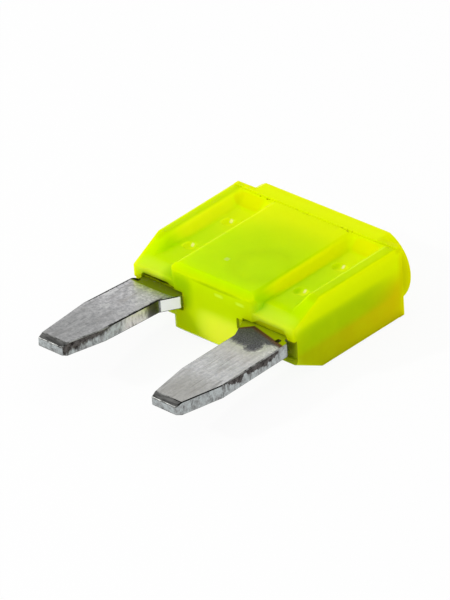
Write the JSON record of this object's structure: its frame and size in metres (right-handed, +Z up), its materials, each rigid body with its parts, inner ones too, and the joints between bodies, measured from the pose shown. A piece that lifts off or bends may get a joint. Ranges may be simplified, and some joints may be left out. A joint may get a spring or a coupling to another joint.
{
  "type": "automotive blade fuse",
  "caption": "Small plug-in vehicle fuse: a flat translucent yellow-green moulded housing with two flat tapered metal blades, lying on its broad face, left blade slightly bent.",
  "frame": {"origin": "middle of the seat face, the flat end of the housing's nose between the two blades, halfway through the thickness", "axes": "+X across the blades to the straight right blade, +Y from the blade tips to the head cap, +Z up through the thickness"},
  "size_m": [0.011, 0.0164, 0.004],
  "materials": {
    "housing_plastic": "translucent yellow-green moulded plastic with a soft gloss",
    "stamped_zinc": "satin stamped zinc alloy with fine lengthwise rolling lines"
  },
  "bodies": {
    "root": {"housing": "housing_plastic", "fuse_element": "stamped_zinc"}
  },
  "joints": []
}
